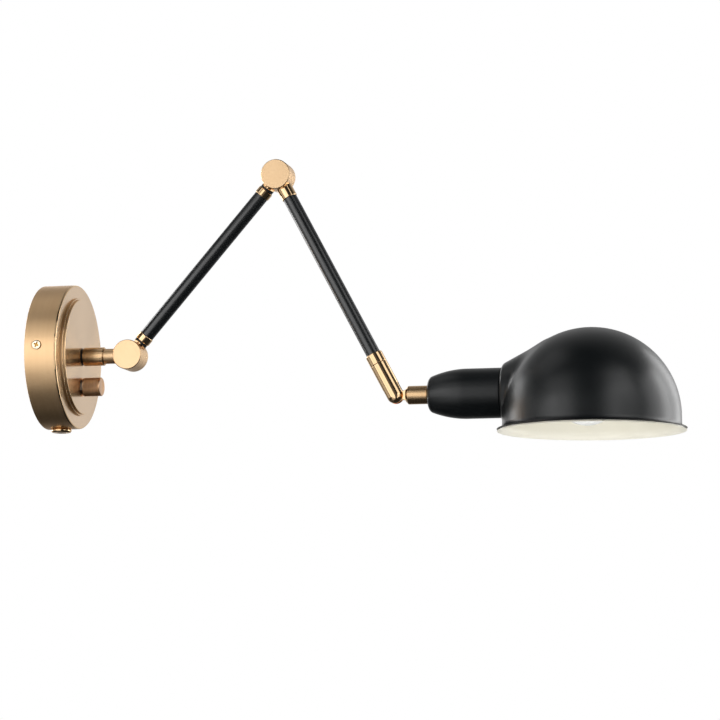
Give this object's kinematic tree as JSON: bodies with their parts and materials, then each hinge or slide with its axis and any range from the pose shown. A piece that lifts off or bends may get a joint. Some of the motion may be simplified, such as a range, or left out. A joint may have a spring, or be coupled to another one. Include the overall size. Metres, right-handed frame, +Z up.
{
  "type": "articulating wall light",
  "caption": "Brass and black swing-arm wall light with a round canopy, dimmer knob, two drum joints, a swivelling clevis and a half-dome metal shade.",
  "frame": {"origin": "centre of the two wall slots on the wall plane, which is the centre of the canopy back", "axes": "+X straight out of the wall, +Z up, +Y to the right of someone who faces the wall's outside from +X"},
  "size_m": [0.5337, 0.1524, 0.2301],
  "materials": {
    "brushed_brass": "brushed satin",
    "knurled_brass": "fine knurl, satin",
    "polished_brass": "polished",
    "satin_black": "satin black powder coat, cream inside the shade",
    "zinc_steel": "zinc plated",
    "green_screw": "satin",
    "white_plastic": "moulded",
    "black_rubber": "matt",
    "black_plastic": "matt moulded",
    "opal_glass": "frosted opal"
  },
  "bodies": {
    "base": {"wall_bracket": "zinc_steel", "ground_screw": "green_screw", "canopy": "brushed_brass", "face_plate": "brushed_brass", "side_screws": "polished_brass", "base_post": "brushed_brass", "post_nut": "zinc_steel", "terminal_block": "white_plastic", "inlet_bushing": "polished_brass", "inlet_grommet": "black_rubber", "inlet_nut": "zinc_steel", "dimmer_body": "black_plastic", "dimmer_nut": "zinc_steel"},
    "knob": {"knob": "knurled_brass", "dimmer_shaft": "zinc_steel", "knob_grub_screw": "zinc_steel"},
    "neck": {"wall_drum_neck": "brushed_brass", "wall_drum_front_cap": "brushed_brass", "neck_washer": "zinc_steel", "neck_nut": "zinc_steel"},
    "lower_arm": {"wall_drum_rear": "brushed_brass", "wall_drum_rear_cap": "brushed_brass", "wall_pivot_bolt": "zinc_steel", "wall_pivot_washer": "zinc_steel", "wall_pivot_nut": "zinc_steel", "lower_arm_wall_collar": "polished_brass", "lower_arm_tube": "satin_black", "lower_arm_elbow_collar": "polished_brass", "elbow_drum_rear": "brushed_brass", "elbow_drum_rear_cap": "brushed_brass", "elbow_pivot_bolt": "zinc_steel", "elbow_pivot_washer": "zinc_steel", "elbow_pivot_nut": "zinc_steel"},
    "upper_arm": {"elbow_drum_front": "brushed_brass", "elbow_drum_front_cap": "brushed_brass", "upper_arm_elbow_collar": "polished_brass", "upper_arm_tube": "satin_black", "head_collar": "polished_brass"},
    "clevis": {"head_clevis": "polished_brass", "head_swivel_nut": "zinc_steel", "tilt_screw": "polished_brass"},
    "head": {"head_stem": "brushed_brass", "head_nipple": "zinc_steel", "cover_nut": "zinc_steel", "socket_cover": "satin_black", "lampholder_body": "black_plastic", "lampholder_shell": "polished_brass", "lampholder_contact": "polished_brass", "shade_ring": "satin_black", "shade": "satin_black", "bulb_glass": "opal_glass", "bulb_cap": "zinc_steel"}
  },
  "joints": [
    {"name": "base_swivel", "type": "hinge", "parent": "base", "child": "neck", "pos_m": [0.05, 0, 0], "axis": [1, 0, 0], "range_deg": [-170, 170]},
    {"name": "wall_pitch", "type": "hinge", "parent": "neck", "child": "lower_arm", "pos_m": [0.0718, 0, 0], "axis": [0, 1, 0], "range_deg": [-40.8, 139.2]},
    {"name": "elbow", "type": "hinge", "parent": "lower_arm", "child": "upper_arm", "pos_m": [0.19791, 0, 0.1461], "axis": [0, -1, 0], "range_deg": [-8, 200]},
    {"name": "head_swivel", "type": "hinge", "parent": "upper_arm", "child": "clevis", "pos_m": [0.29703, 0, -0.03915], "axis": [0.4718, 0, -0.8817], "range_deg": [-165, 165]},
    {"name": "head_tilt", "type": "hinge", "parent": "clevis", "child": "head", "pos_m": [0.29703, 0, -0.03915], "axis": [0, -1, 0], "range_deg": [-151.8, 28.1]},
    {"name": "dimmer_turn", "type": "hinge", "parent": "base", "child": "knob", "pos_m": [0.04, 0, -0.0253], "axis": [1, 0, 0], "range_deg": [0, 280]}
  ]
}
